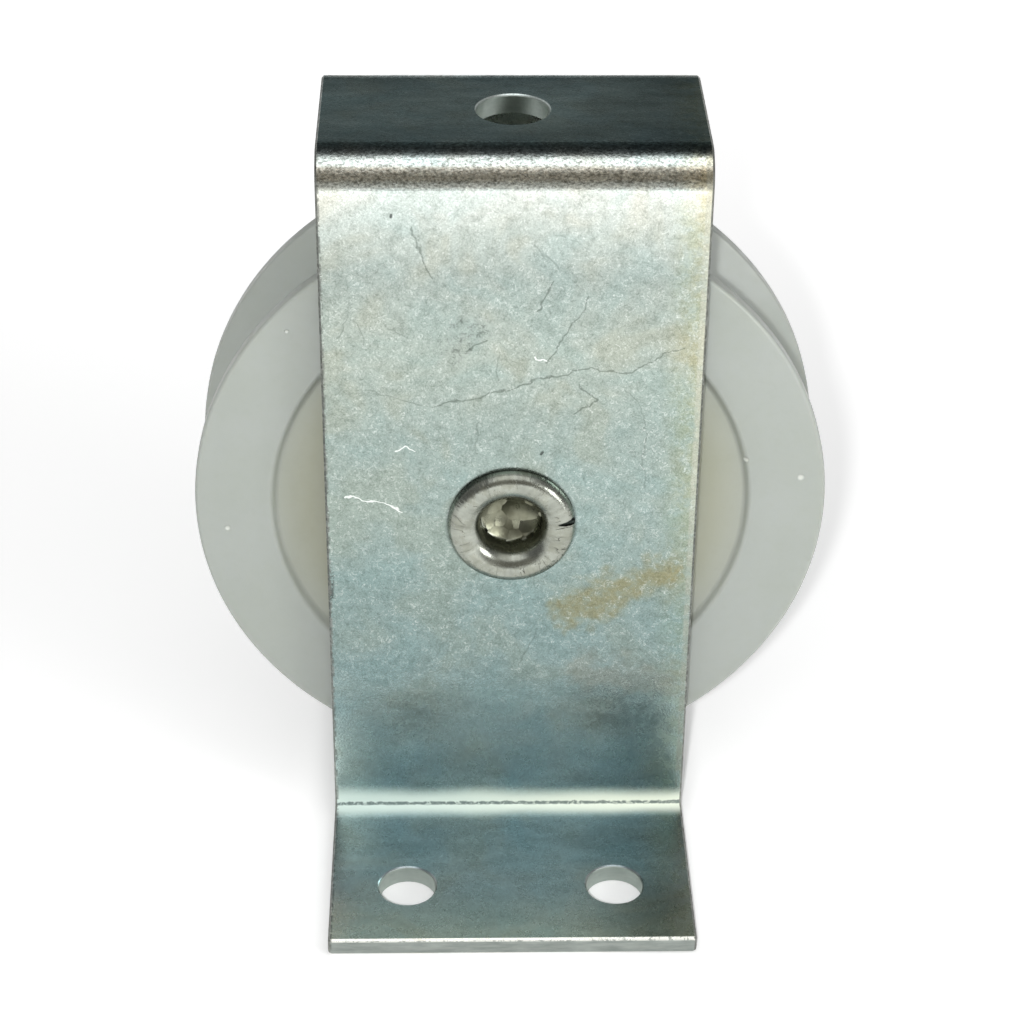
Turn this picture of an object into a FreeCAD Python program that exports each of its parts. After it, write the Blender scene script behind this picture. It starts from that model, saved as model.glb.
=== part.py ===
import FreeCAD, Part
import math
import os
import Sketcher
from FreeCAD import Placement, Rotation, Vector

# A wire rope sheave on a fixing bracket. One plated strip is folded into a hat:
# two feet, two legs and a top plate. A nylon wheel with a rope groove turns on a
# steel sleeve between the legs, and a semi-tubular rivet is its axle.
# Millimetres. X runs across the strip, Y along the axle and Z up. The origin is
# on the ground under the middle. The rivet's flared end faces -Y.

# Driving dimensions: name, value, meaning
SIZES = [
    ("strip_width", 50.8, "width of the bracket strip"),
    ("strip_thickness", 2.65, "thickness of the bracket strip"),
    ("ground_gap", 7.8, "gap between the wheel and the ground"),
    ("top_gap", 8.65, "gap between the wheel and the top plate"),
    ("leg_gap", 24.5, "clear distance between the legs"),
    ("foot_length", 29.7, "foot, from the leg's outer face to its end"),
    ("top_bend_radius", 2.0, "inside radius of the two top bends"),
    ("foot_bend_radius", 0.6, "inside radius of the two foot bends"),
    ("inner_edge_radius", 0.6, "rounding of the long edges of the strip's inner surface"),
    ("outer_edge_bevel", 0.3, "bevel of the long edges of its outer surface"),
    ("cut_edge_bevel", 0.3, "bevel round the sheared ends"),
    ("hole_edge_bevel", 0.25, "bevel at the upper mouths of the punched holes"),
    ("top_hole_diameter", 9.53, "hole in the top plate"),
    ("foot_hole_diameter", 7.94, "holes in the feet"),
    ("foot_hole_spacing", 29.2, "distance between the two holes of a foot"),
    ("foot_hole_setback", 11.4, "foot hole centre to the end of the foot"),
    ("rivet_diameter", 12.7, "shank of the axle rivet"),
    ("rivet_hole_clearance", 0.1, "rivet to the holes it passes, on the radius"),
    ("flare_diameter", 17.5, "rolled-over end of the rivet"),
    ("flare_height", 1.8, "rolled-over end, above the leg's face"),
    ("flare_lip", 0.9, "height of the flare's outer edge"),
    ("throat_radius", 2.0, "round mouth between the bore and the flare"),
    ("bore_diameter", 8.6, "blind bore in the rivet's tail"),
    ("bore_depth", 2.3, "bore's straight wall, below the leg's face"),
    ("bore_tip_angle", 118.0, "cone angle at the bottom of the bore, degrees"),
    ("split_angle", 8.0, "place of the split in the flare, degrees above level"),
    ("split_depth", 2.25, "length of the split, inwards from the flare's edge"),
    ("split_width", 0.75, "width of the split at the flare's edge"),
    ("head_diameter", 20.6, "factory head of the rivet"),
    ("head_top_diameter", 18.0, "flat middle of the factory head"),
    ("head_height", 2.6, "factory head, at its middle"),
    ("head_edge", 1.4, "factory head, at its edge"),
    ("sleeve_wall", 1.6, "wall of the sleeve around the rivet"),
    ("running_clearance", 0.05, "sleeve to the wheel's bore, on the radius"),
    ("side_clearance", 0.3, "hub face to the leg, on each side"),
    ("sheave_diameter", 87.2, "wheel over its flanges"),
    ("hub_diameter", 30.0, "raised hub ring that runs beside the legs"),
    ("hub_step", 1.75, "hub ring, above the flange's face"),
    ("recess_diameter", 66.0, "shallow recess between the hub ring and the flange"),
    ("recess_depth", 0.8, "recess, below the flange's face"),
    ("rim_land", 2.4, "width of each flange at the rim"),
    ("groove_root_diameter", 63.0, "bottom of the rope groove"),
    ("groove_radius", 4.2, "round bottom of the rope groove"),
    ("rim_bevel", 0.5, "bevel between the flange's face and its rim"),
    ("bore_chamfer", 0.6, "chamfer at the ends of the wheel's bore"),
]

# Sizes that follow from those above
AXLE_HEIGHT = "sizes.ground_gap + sizes.sheave_diameter / 2"
BRACKET_HEIGHT = ("sizes.ground_gap + sizes.sheave_diameter + sizes.top_gap"
                  " + sizes.strip_thickness")
HALF_GRIP = "sizes.leg_gap / 2 + sizes.strip_thickness"
HALF_HUB = "sizes.leg_gap / 2 - sizes.side_clearance"
HALF_WHEEL = HALF_HUB + " - sizes.hub_step"
AXLE_HOLE = "sizes.rivet_diameter / 2 + sizes.rivet_hole_clearance"
WHEEL_BORE = AXLE_HOLE + " + sizes.sleeve_wall + sizes.running_clearance"

RIGHT, TOP, LEFT, BOTTOM = 0.0, 90.0, 180.0, 270.0
START, END, CENTRE = range(1, 4)
ORIGIN, H_AXIS, V_AXIS = (-1, 1), -1, -2
NEAR = 1e-4


def make_sheet(doc):
    """Put the driving dimensions in a sheet, one named cell each."""
    sheet = doc.addObject("Spreadsheet::Sheet", "sizes")
    for row, (name, value, meaning) in enumerate(SIZES, start=1):
        sheet.set(f"A{row}", meaning)
        sheet.set(f"B{row}", str(value))
        sheet.setAlias(f"B{row}", name)
    doc.recompute()
    return sheet


def make_body(doc, name):
    body = doc.addObject("PartDesign::Body", name)
    body.Label = name
    body.Placement = Placement()
    return body


def origin_plane(body, role):
    for feature in body.Origin.OriginFeatures:
        if feature.Role == role:
            return feature
    raise ValueError(f"{body.Label} has no {role}")


def new_sketch(body, name, role):
    """An empty sketch on one of the body's own origin planes."""
    sketch = body.newObject("Sketcher::SketchObject", name)
    sketch.AttachmentSupport = [(origin_plane(body, role), "")]
    sketch.MapMode = "FlatFace"
    return sketch


def line(sketch, start, end):
    segment = Part.LineSegment(Vector(*start, 0), Vector(*end, 0))
    return sketch.addGeometry(segment, False)


def arc(sketch, centre, radius, start_angle, end_angle):
    circle = Part.Circle(Vector(*centre, 0), Vector(0, 0, 1), radius)
    bow = Part.ArcOfCircle(circle, math.radians(start_angle), math.radians(end_angle))
    return sketch.addGeometry(bow, False)


def circle(sketch, centre, radius):
    ring = Part.Circle(Vector(*centre, 0), Vector(0, 0, 1), radius)
    return sketch.addGeometry(ring, False)


def rule(sketch, kind, *items):
    return sketch.addConstraint(Sketcher.Constraint(kind, *items))


def join(sketch, *pairs):
    for first, second in pairs:
        rule(sketch, "Coincident", *first, *second)


def blend(sketch, *pairs):
    """Join ends of a line and an arc, or of two arcs, so that they run on smoothly."""
    for first, second in pairs:
        rule(sketch, "Tangent", *first, *second)


def worked_out(sheet, formula):
    """What a formula of the sheet comes to."""
    value = sheet.evalExpression(formula)
    return float(getattr(value, "Value", value))


def size(sketch, name, formula, kind, *items):
    """A named dimension of the sketch, tied to the sheet."""
    sheet = sketch.Document.getObject("sizes")
    index = rule(sketch, kind, *items, worked_out(sheet, formula))
    sketch.renameConstraint(index, name)
    sketch.setExpression(f"Constraints.{name}", formula)


def across(sketch, name, formula, point):
    """The point's distance to the right of the sketch's origin."""
    size(sketch, name, formula, "DistanceX", *ORIGIN, *point)


def up(sketch, name, formula, point):
    """The point's distance above the sketch's origin."""
    size(sketch, name, formula, "DistanceY", *ORIGIN, *point)


def pad_both_ways(body, sketch, name, formula):
    pad = body.newObject("PartDesign::Pad", name)
    pad.Profile = sketch
    pad.SideType = "Symmetric"
    pad.setExpression("Length", formula)
    return pad


def pocket(body, sketch, name, side="One side", reverse=False):
    """Cut the sketch through everything, and stop if it cuts nothing."""
    body.Document.recompute()
    before = body.Shape.Volume
    cut = body.newObject("PartDesign::Pocket", name)
    cut.Profile = sketch
    cut.Type = "ThroughAll"
    cut.SideType = side
    if side == "Two sides":
        cut.Type2 = "ThroughAll"
    cut.Reversed = reverse
    body.Document.recompute()
    if cut.Shape.Volume > before - NEAR:
        raise ValueError(f"{name} cuts nothing")
    return cut


def revolve(body, sketch, name):
    turned = body.newObject("PartDesign::Revolution", name)
    turned.Profile = sketch
    turned.ReferenceAxis = (sketch, ["H_Axis"])
    turned.Angle = 360
    return turned


def turn_groove(body, sketch, name):
    """Cut the sketch all round the axis, and stop if it cuts nothing."""
    body.Document.recompute()
    before = body.Shape.Volume
    groove = body.newObject("PartDesign::Groove", name)
    groove.Profile = sketch
    groove.ReferenceAxis = (sketch, ["H_Axis"])
    groove.Angle = 360
    body.Document.recompute()
    if groove.Shape.Volume > before - NEAR:
        raise ValueError(f"{name} cuts nothing")
    return groove


def mirror_front_to_back(body, name, features):
    """Repeat features of one side of the XZ plane on its other side."""
    copy = body.newObject("PartDesign::Mirrored", name)
    copy.Originals = features
    copy.MirrorPlane = (origin_plane(body, "XZ_Plane"), [""])
    body.Tip = copy
    body.Document.recompute()
    return copy


def dress(body, kind, name, base, test, property_name, formula):
    """Fillet or chamfer the edges of base that pass the test."""
    picked = [f"Edge{i}" for i, edge in enumerate(base.Shape.Edges, 1) if test(edge)]
    if not picked:
        raise ValueError(f"{name} finds no edges")
    feature = body.newObject(f"PartDesign::{kind}", name)
    feature.Base = (base, picked)
    feature.setExpression(property_name, formula)
    body.Document.recompute()
    return feature


def fillet(body, name, base, test, formula):
    return dress(body, "Fillet", name, base, test, "Radius", formula)


def chamfer(body, name, base, test, formula):
    return dress(body, "Chamfer", name, base, test, "Size", formula)


def circle_of(edge):
    """The edge's circle, or nothing where it is a point or another curve."""
    if edge.Degenerated or not isinstance(edge.Curve, Part.Circle):
        return None
    return edge.Curve


def ring_at(radius, distance):
    """A test for a circle about the Y axis, that far in front of the middle or behind it."""
    def test(edge):
        curve = circle_of(edge)
        if curve is None or abs(abs(curve.Axis.y) - 1) > NEAR:
            return False
        right_place = abs(abs(curve.Center.y) - distance) < NEAR
        return right_place and abs(curve.Radius - radius) < NEAR
    return test


# Bracket

def bracket_outline(body, v):
    """Section of the rear half of the folded strip, from the middle to the foot."""
    sketch = new_sketch(body, "strip_outline", "YZ_Plane")
    thick = v.strip_thickness
    inner = v.leg_gap / 2
    outer = worked_out(v, HALF_GRIP)
    toe = outer + v.foot_length
    top = worked_out(v, BRACKET_HEIGHT)
    heel = outer + v.foot_bend_radius
    heel_top = thick + v.foot_bend_radius
    bend = outer - thick - v.top_bend_radius
    bend_top = top - thick - v.top_bend_radius

    toe_edge = line(sketch, (toe, 0), (toe, thick))
    foot_top = line(sketch, (toe, thick), (heel, thick))
    crease = arc(sketch, (heel, heel_top), v.foot_bend_radius, LEFT, BOTTOM)
    leg_out = line(sketch, (outer, heel_top), (outer, bend_top))
    bend_out = arc(sketch, (bend, bend_top), v.top_bend_radius + thick, RIGHT, TOP)
    top_out = line(sketch, (bend, top), (0, top))
    middle = line(sketch, (0, top), (0, top - thick))
    top_in = line(sketch, (0, top - thick), (bend, top - thick))
    bend_in = arc(sketch, (bend, bend_top), v.top_bend_radius, RIGHT, TOP)
    leg_in = line(sketch, (inner, bend_top), (inner, heel_top))
    heel_out = arc(sketch, (heel, heel_top), v.foot_bend_radius + thick, LEFT, BOTTOM)
    foot_under = line(sketch, (heel, 0), (toe, 0))

    join(sketch,
         ((toe_edge, END), (foot_top, START)),
         ((top_out, END), (middle, START)),
         ((middle, END), (top_in, START)),
         ((foot_under, END), (toe_edge, START)),
         ((crease, CENTRE), (heel_out, CENTRE)),
         ((bend_out, CENTRE), (bend_in, CENTRE)))
    blend(sketch,
          ((foot_top, END), (crease, END)),
          ((crease, START), (leg_out, START)),
          ((leg_out, END), (bend_out, START)),
          ((bend_out, END), (top_out, START)),
          ((top_in, END), (bend_in, END)),
          ((bend_in, START), (leg_in, START)),
          ((leg_in, END), (heel_out, START)),
          ((heel_out, END), (foot_under, START)))
    for upright in (toe_edge, leg_out, middle, leg_in):
        rule(sketch, "Vertical", upright)
    for level in (foot_top, top_out, top_in, foot_under):
        rule(sketch, "Horizontal", level)
    rule(sketch, "PointOnObject", foot_under, START, H_AXIS)
    rule(sketch, "PointOnObject", middle, START, V_AXIS)

    across(sketch, "leg_inside", "sizes.leg_gap / 2", (leg_in, START))
    across(sketch, "leg_outside", HALF_GRIP, (leg_out, START))
    across(sketch, "toe", HALF_GRIP + " + sizes.foot_length", (toe_edge, START))
    up(sketch, "height", BRACKET_HEIGHT, (middle, START))
    size(sketch, "top_bend", "sizes.top_bend_radius", "Radius", bend_in)
    size(sketch, "foot_bend", "sizes.foot_bend_radius", "Radius", crease)
    return sketch


def foot_hole_sketch(body, v):
    """The two holes of the rear foot."""
    sketch = new_sketch(body, "foot_hole_circles", "XY_Plane")
    row_formula = HALF_GRIP + " + sizes.foot_length - sizes.foot_hole_setback"
    row = worked_out(v, row_formula)
    half = v.foot_hole_spacing / 2
    right = circle(sketch, (half, row), v.foot_hole_diameter / 2)
    left = circle(sketch, (-half, row), v.foot_hole_diameter / 2)
    rule(sketch, "Symmetric", left, CENTRE, right, CENTRE, V_AXIS)
    rule(sketch, "Equal", left, right)
    across(sketch, "half_spacing", "sizes.foot_hole_spacing / 2", (right, CENTRE))
    up(sketch, "row", row_formula, (right, CENTRE))
    size(sketch, "hole", "sizes.foot_hole_diameter / 2", "Radius", right)
    return sketch


def top_hole_sketch(body, v):
    sketch = new_sketch(body, "top_hole_circle", "XY_Plane")
    ring = circle(sketch, (0, 0), v.top_hole_diameter / 2)
    join(sketch, ((ring, CENTRE), ORIGIN))
    size(sketch, "hole", "sizes.top_hole_diameter / 2", "Radius", ring)
    return sketch


def axle_hole_sketch(body, v):
    sketch = new_sketch(body, "axle_hole_circle", "XZ_Plane")
    ring = circle(sketch, (0, worked_out(v, AXLE_HEIGHT)), worked_out(v, AXLE_HOLE))
    rule(sketch, "PointOnObject", ring, CENTRE, V_AXIS)
    up(sketch, "axle", AXLE_HEIGHT, (ring, CENTRE))
    size(sketch, "hole", AXLE_HOLE, "Radius", ring)
    return sketch


def long_edge_test(v, inner):
    """Edges along the strip: those of its inner surface, or those of its outer one."""
    thick = v.strip_thickness
    toe = worked_out(v, HALF_GRIP) + v.foot_length
    top = worked_out(v, BRACKET_HEIGHT)
    if inner:
        leg, levels = v.leg_gap / 2, (0, top - thick)
        radii = (v.foot_bend_radius + thick, v.top_bend_radius)
    else:
        leg, levels = v.leg_gap / 2 + thick, (thick, top)
        radii = (v.foot_bend_radius, v.top_bend_radius + thick)

    def test(edge):
        box = edge.BoundBox
        at_toe = box.YLength < NEAR and abs(abs(box.YMin) - toe) < NEAR
        on_side = box.XLength < NEAR and abs(abs(box.XMin) - v.strip_width / 2) < NEAR
        if at_toe or not on_side:
            return False
        curve = circle_of(edge)
        if curve is not None:
            return min(abs(curve.Radius - radius) for radius in radii) < NEAR
        middle = edge.CenterOfMass
        on_level = min(abs(middle.z - level) for level in levels) < NEAR
        return on_level or abs(abs(middle.y) - leg) < NEAR
    return test


def toe_edge_test(v):
    """All the edges round the two sheared ends."""
    toe = worked_out(v, HALF_GRIP) + v.foot_length

    def test(edge):
        box = edge.BoundBox
        return box.YLength < NEAR and abs(abs(box.YMin) - toe) < NEAR
    return test


def hole_mouth_test(v):
    """Upper mouths of the punched holes, where the punch went in."""
    levels = (v.strip_thickness, worked_out(v, BRACKET_HEIGHT))
    radii = (v.top_hole_diameter / 2, v.foot_hole_diameter / 2)

    def test(edge):
        curve = circle_of(edge)
        if curve is None or abs(abs(curve.Axis.z) - 1) > NEAR:
            return False
        right_size = min(abs(curve.Radius - radius) for radius in radii) < NEAR
        return right_size and min(abs(curve.Center.z - z) for z in levels) < NEAR
    return test


def make_bracket(doc, v):
    body = make_body(doc, "bracket")
    strip = pad_both_ways(body, bracket_outline(body, v), "strip", "sizes.strip_width")
    holes = pocket(body, foot_hole_sketch(body, v), "foot_holes", reverse=True)
    mirror_front_to_back(body, "both_halves", [strip, holes])
    pocket(body, top_hole_sketch(body, v), "top_hole", reverse=True)
    axle = pocket(body, axle_hole_sketch(body, v), "axle_holes", side="Two sides")
    inner = fillet(body, "inner_long_edges", axle, long_edge_test(v, inner=True),
                   "sizes.inner_edge_radius")
    outer = chamfer(body, "outer_long_edges", inner, long_edge_test(v, inner=False),
                    "sizes.outer_edge_bevel")
    ends = chamfer(body, "cut_ends", outer, toe_edge_test(v), "sizes.cut_edge_bevel")
    chamfer(body, "hole_mouths", ends, hole_mouth_test(v), "sizes.hole_edge_bevel")
    return body


# Wheel

def blank_outline(body, v):
    """Section of the rear half of the wheel without its groove, above its axis."""
    sketch = new_sketch(body, "blank_outline", "YZ_Plane")
    hub = worked_out(v, HALF_HUB)
    flange = worked_out(v, HALF_WHEEL)
    web = flange - v.recess_depth
    bore = worked_out(v, WHEEL_BORE)
    rim = v.sheave_diameter / 2
    hub_radius = v.hub_diameter / 2
    recess_radius = v.recess_diameter / 2

    corners = ((0, bore), (hub, bore), (hub, hub_radius), (web, hub_radius),
               (web, recess_radius), (flange, recess_radius), (flange, rim), (0, rim))
    sides = [line(sketch, start, end)
             for start, end in zip(corners, corners[1:] + corners[:1])]
    bore_wall, hub_face, hub_edge, web_face, recess_edge, flange_face, rim_edge, middle = sides
    for first, second in zip(sides, sides[1:] + sides[:1]):
        join(sketch, ((first, END), (second, START)))
    for level in (bore_wall, hub_edge, recess_edge, rim_edge):
        rule(sketch, "Horizontal", level)
    for upright in (hub_face, web_face, flange_face, middle):
        rule(sketch, "Vertical", upright)
    rule(sketch, "PointOnObject", middle, START, V_AXIS)

    across(sketch, "hub", HALF_HUB, (hub_face, START))
    across(sketch, "flange", HALF_WHEEL, (flange_face, START))
    size(sketch, "recess", "sizes.recess_depth", "Distance", recess_edge)
    up(sketch, "bore", WHEEL_BORE, (bore_wall, START))
    up(sketch, "hub_radius", "sizes.hub_diameter / 2", (hub_edge, START))
    up(sketch, "recess_radius", "sizes.recess_diameter / 2", (recess_edge, START))
    up(sketch, "rim", "sizes.sheave_diameter / 2", (rim_edge, START))
    return sketch


def groove_outline(body, v):
    """Section of the rope groove: a round bottom and two walls that lean outwards."""
    sketch = new_sketch(body, "groove_outline", "YZ_Plane")
    mouth = worked_out(v, HALF_WHEEL) - v.rim_land
    rim = v.sheave_diameter / 2
    centre = v.groove_root_diameter / 2 + v.groove_radius
    reach = math.hypot(mouth, rim - centre)
    lean = math.atan2(rim - centre, mouth) - math.acos(v.groove_radius / reach)
    touch = (v.groove_radius * math.cos(lean), centre + v.groove_radius * math.sin(lean))

    floor = arc(sketch, (0, centre), v.groove_radius,
                LEFT - math.degrees(lean), 360 + math.degrees(lean))
    right = line(sketch, (mouth, rim), touch)
    left = line(sketch, (-touch[0], touch[1]), (-mouth, rim))
    lid = line(sketch, (-mouth, rim), (mouth, rim))
    blend(sketch, ((left, START), (floor, START)), ((floor, END), (right, END)))
    join(sketch, ((left, END), (lid, START)), ((lid, END), (right, START)))
    rule(sketch, "Symmetric", lid, START, lid, END, V_AXIS)
    rule(sketch, "PointOnObject", floor, CENTRE, V_AXIS)

    across(sketch, "mouth", HALF_WHEEL + " - sizes.rim_land", (lid, END))
    up(sketch, "rim", "sizes.sheave_diameter / 2", (lid, END))
    up(sketch, "floor_height", "sizes.groove_root_diameter / 2 + sizes.groove_radius",
       (floor, CENTRE))
    size(sketch, "floor", "sizes.groove_radius", "Radius", floor)
    return sketch


def make_sheave(doc, v):
    body = make_body(doc, "sheave")
    half = revolve(body, blank_outline(body, v), "half_blank")
    doc.recompute()
    mirror_front_to_back(body, "blank", [half])
    grooved = turn_groove(body, groove_outline(body, v), "rope_groove")

    hub = worked_out(v, HALF_HUB)
    flange = worked_out(v, HALF_WHEEL)
    bore = worked_out(v, WHEEL_BORE)
    rims = chamfer(body, "rim_edges", grooved, ring_at(v.sheave_diameter / 2, flange),
                   "sizes.rim_bevel")
    chamfer(body, "bore_ends", rims, ring_at(bore, hub), "sizes.bore_chamfer")
    body.setExpression("Placement.Base.z", AXLE_HEIGHT)
    return body


# Axle rivet

def rivet_outline(body, v):
    """Section of the rivet above its axis, its flared end to the right."""
    sketch = new_sketch(body, "rivet_outline", "YZ_Plane")
    grip = worked_out(v, HALF_GRIP)
    shank = v.rivet_diameter / 2
    flare = v.flare_diameter / 2
    bore = v.bore_diameter / 2
    crest = grip + v.flare_height
    crest_radius = bore + v.throat_radius
    lip = grip + v.flare_lip
    throat = crest - v.throat_radius
    bore_end = grip - v.bore_depth
    tip = bore_end - bore / math.tan(math.radians(v.bore_tip_angle / 2))
    head = v.head_diameter / 2
    head_side = -grip - v.head_height
    head_flat = v.head_top_diameter / 2

    axis = line(sketch, (tip, 0), (head_side, 0))
    head_top = line(sketch, (head_side, 0), (head_side, head_flat))
    head_slope = line(sketch, (head_side, head_flat), (-grip - v.head_edge, head))
    head_edge = line(sketch, (-grip - v.head_edge, head), (-grip, head))
    head_seat = line(sketch, (-grip, head), (-grip, shank))
    stem = line(sketch, (-grip, shank), (grip, shank))
    flare_seat = line(sketch, (grip, shank), (grip, flare))
    flare_edge = line(sketch, (grip, flare), (lip, flare))
    flare_slope = line(sketch, (lip, flare), (crest, crest_radius))
    mouth = arc(sketch, (throat, crest_radius), v.throat_radius, BOTTOM, 360)
    bore_wall = line(sketch, (throat, bore), (bore_end, bore))
    cone = line(sketch, (bore_end, bore), (tip, 0))

    join(sketch,
         ((axis, END), (head_top, START)),
         ((head_top, END), (head_slope, START)),
         ((head_slope, END), (head_edge, START)),
         ((head_edge, END), (head_seat, START)),
         ((head_seat, END), (stem, START)),
         ((stem, END), (flare_seat, START)),
         ((flare_seat, END), (flare_edge, START)),
         ((flare_edge, END), (flare_slope, START)),
         ((flare_slope, END), (mouth, END)),
         ((bore_wall, END), (cone, START)),
         ((cone, END), (axis, START)))
    blend(sketch, ((mouth, START), (bore_wall, START)))
    for level in (head_edge, stem, flare_edge, bore_wall):
        rule(sketch, "Horizontal", level)
    for upright in (head_top, head_seat, flare_seat):
        rule(sketch, "Vertical", upright)
    rule(sketch, "Horizontal", mouth, CENTRE, mouth, END)
    rule(sketch, "PointOnObject", axis, START, H_AXIS)
    rule(sketch, "PointOnObject", axis, END, H_AXIS)

    size(sketch, "head_side", HALF_GRIP, "DistanceX", head_seat, START, *ORIGIN)
    size(sketch, "head_edge", "sizes.head_edge", "Distance", head_edge)
    size(sketch, "head_height", HALF_GRIP + " + sizes.head_height", "DistanceX",
         axis, END, *ORIGIN)
    up(sketch, "head_flat", "sizes.head_top_diameter / 2", (head_top, END))
    up(sketch, "head_radius", "sizes.head_diameter / 2", (head_seat, START))
    up(sketch, "shank", "sizes.rivet_diameter / 2", (stem, START))
    across(sketch, "flare_side", HALF_GRIP, (flare_seat, START))
    up(sketch, "flare_radius", "sizes.flare_diameter / 2", (flare_seat, END))
    size(sketch, "flare_lip", "sizes.flare_lip", "Distance", flare_edge)
    across(sketch, "crest", HALF_GRIP + " + sizes.flare_height", (mouth, END))
    size(sketch, "throat", "sizes.throat_radius", "Radius", mouth)
    up(sketch, "bore", "sizes.bore_diameter / 2", (bore_wall, END))
    across(sketch, "bore_end", HALF_GRIP + " - sizes.bore_depth", (bore_wall, END))
    size(sketch, "cone", "sizes.bore_diameter / 2 / tan(sizes.bore_tip_angle / 2 * 1 deg)",
         "DistanceX", axis, START, bore_wall, END)
    return sketch


def split_sketch(body, v):
    """A wedge that opens towards the flare's edge."""
    sketch = new_sketch(body, "split_wedge", "XZ_Plane")
    edge = v.flare_diameter / 2
    turn = math.radians(180 - v.split_angle)
    along = Vector(math.cos(turn), math.sin(turn), 0)
    sideways = Vector(-math.sin(turn), math.cos(turn), 0)
    tip = along * (edge - v.split_depth)
    outer = along * (edge + v.split_depth)
    lower = outer + sideways * v.split_width
    upper = outer - sideways * v.split_width

    spine = line(sketch, (0, 0), (outer.x, outer.y))
    sketch.toggleConstruction(spine)
    low_side = line(sketch, (tip.x, tip.y), (lower.x, lower.y))
    end = line(sketch, (lower.x, lower.y), (upper.x, upper.y))
    high_side = line(sketch, (upper.x, upper.y), (tip.x, tip.y))

    join(sketch,
         ((spine, START), ORIGIN),
         ((low_side, END), (end, START)),
         ((end, END), (high_side, START)),
         ((high_side, END), (low_side, START)))
    rule(sketch, "PointOnObject", low_side, START, spine)
    rule(sketch, "Perpendicular", end, spine)
    rule(sketch, "Symmetric", low_side, END, high_side, START, spine, END)
    size(sketch, "angle", "(180 - sizes.split_angle) * 1 deg", "Angle",
         H_AXIS, START, spine, START)
    size(sketch, "reach", "sizes.flare_diameter / 2 + sizes.split_depth", "Distance", spine)
    size(sketch, "tip", "sizes.flare_diameter / 2 - sizes.split_depth", "Distance",
         *ORIGIN, low_side, START)
    size(sketch, "width", "2 * sizes.split_width", "Distance", end)
    return sketch


def make_axle_rivet(doc, v):
    body = make_body(doc, "axle_rivet")
    revolve(body, rivet_outline(body, v), "turned_rivet")
    pocket(body, split_sketch(body, v), "split")
    body.Placement = Placement(Vector(), Rotation(Vector(0, 0, 1), 180))
    body.setExpression("Placement.Base.z", AXLE_HEIGHT)
    return body


# Sleeve

def make_spacer_sleeve(doc, v):
    body = make_body(doc, "spacer_sleeve")
    sketch = new_sketch(body, "sleeve_rings", "XZ_Plane")
    hole = worked_out(v, AXLE_HOLE)
    inside = circle(sketch, (0, 0), hole)
    outside = circle(sketch, (0, 0), hole + v.sleeve_wall)
    join(sketch, ((inside, CENTRE), ORIGIN), ((outside, CENTRE), ORIGIN))
    size(sketch, "inside", AXLE_HOLE, "Radius", inside)
    size(sketch, "outside", AXLE_HOLE + " + sizes.sleeve_wall", "Radius", outside)
    pad_both_ways(body, sketch, "tube", "sizes.leg_gap")
    body.setExpression("Placement.Base.z", AXLE_HEIGHT)
    return body


def check_document(doc, bodies):
    """Stop on any failed feature, empty shape or piece that is not one solid."""
    for item in doc.Objects:
        if "Invalid" in item.State or "Error" in item.State:
            raise ValueError(f"{item.Name} failed: {item.State}")
    for body in bodies:
        shape = body.Shape
        if shape.isNull() or not shape.isValid() or len(shape.Solids) != 1:
            raise ValueError(f"{body.Label} is not one valid solid")


def main():
    doc = FreeCAD.newDocument("wire_rope_sheave")
    sheet = make_sheet(doc)
    bodies = [make(doc, sheet) for make in
              (make_bracket, make_sheave, make_axle_rivet, make_spacer_sleeve)]
    doc.recompute()
    check_document(doc, bodies)
    os.makedirs("parts", exist_ok=True)
    for body in bodies:
        body.Shape.exportStep(f"parts/{body.Label}.step")
        print(body.Label, "volume", round(body.Shape.Volume, 1))


main()
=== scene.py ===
import math

import bmesh
import bpy
from bpy.props import FloatProperty, FloatVectorProperty, IntProperty, PointerProperty
from mathutils import Matrix, Vector


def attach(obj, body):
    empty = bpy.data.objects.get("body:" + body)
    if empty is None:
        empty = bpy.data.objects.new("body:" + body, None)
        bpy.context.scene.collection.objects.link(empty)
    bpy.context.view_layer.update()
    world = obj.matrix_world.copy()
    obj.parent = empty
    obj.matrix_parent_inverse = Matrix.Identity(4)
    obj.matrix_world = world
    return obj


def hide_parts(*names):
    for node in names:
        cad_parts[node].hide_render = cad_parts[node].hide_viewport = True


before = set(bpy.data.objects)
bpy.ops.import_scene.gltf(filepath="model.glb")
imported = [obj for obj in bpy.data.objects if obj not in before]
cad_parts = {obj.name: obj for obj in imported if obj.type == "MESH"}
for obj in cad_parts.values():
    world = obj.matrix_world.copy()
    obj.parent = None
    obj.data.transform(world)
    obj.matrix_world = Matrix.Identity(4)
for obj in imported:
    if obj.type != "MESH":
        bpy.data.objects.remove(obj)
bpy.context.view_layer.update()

bl_info = {
    "name": "Rope sheave on a folded bracket",
    "version": (1, 0, 0),
    "blender": (4, 5, 0),
    "location": "3D View > Sidebar > Sheave",
    "description": "Finishes and fine shapes for a nylon rope sheave, its rivet axle and its plated bracket",
    "category": "Object",
}

MM = 0.001

# Places on the part, in mm from its origin
AXLE_HEIGHT = 51.4
THICKNESS = 2.65
LEG_FACE = 14.9
BRACKET_HEIGHT = 106.3
HALF_STRIP = 25.4
FOOT_END = 44.6
FOOT_HOLE = (14.6, 33.2)
BORE_BOTTOM = 12.6

# Half of the drill point's angle at the bottom of the bore
HALF_POINT = math.radians(59.0)

# How far the split stands above the horizontal through the axle
SPLIT_TURN = math.radians(8.0)

CAMERA_PLACE = (-0.007992, -0.318897, 0.247254)
CAMERA_PAN = -0.026483
CAMERA_DOWN = 0.567563
CAMERA_ROLL = 0.010827

# Middle of a coloured noise
NEUTRAL = (0.5, 0.5, 0.5)


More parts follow.
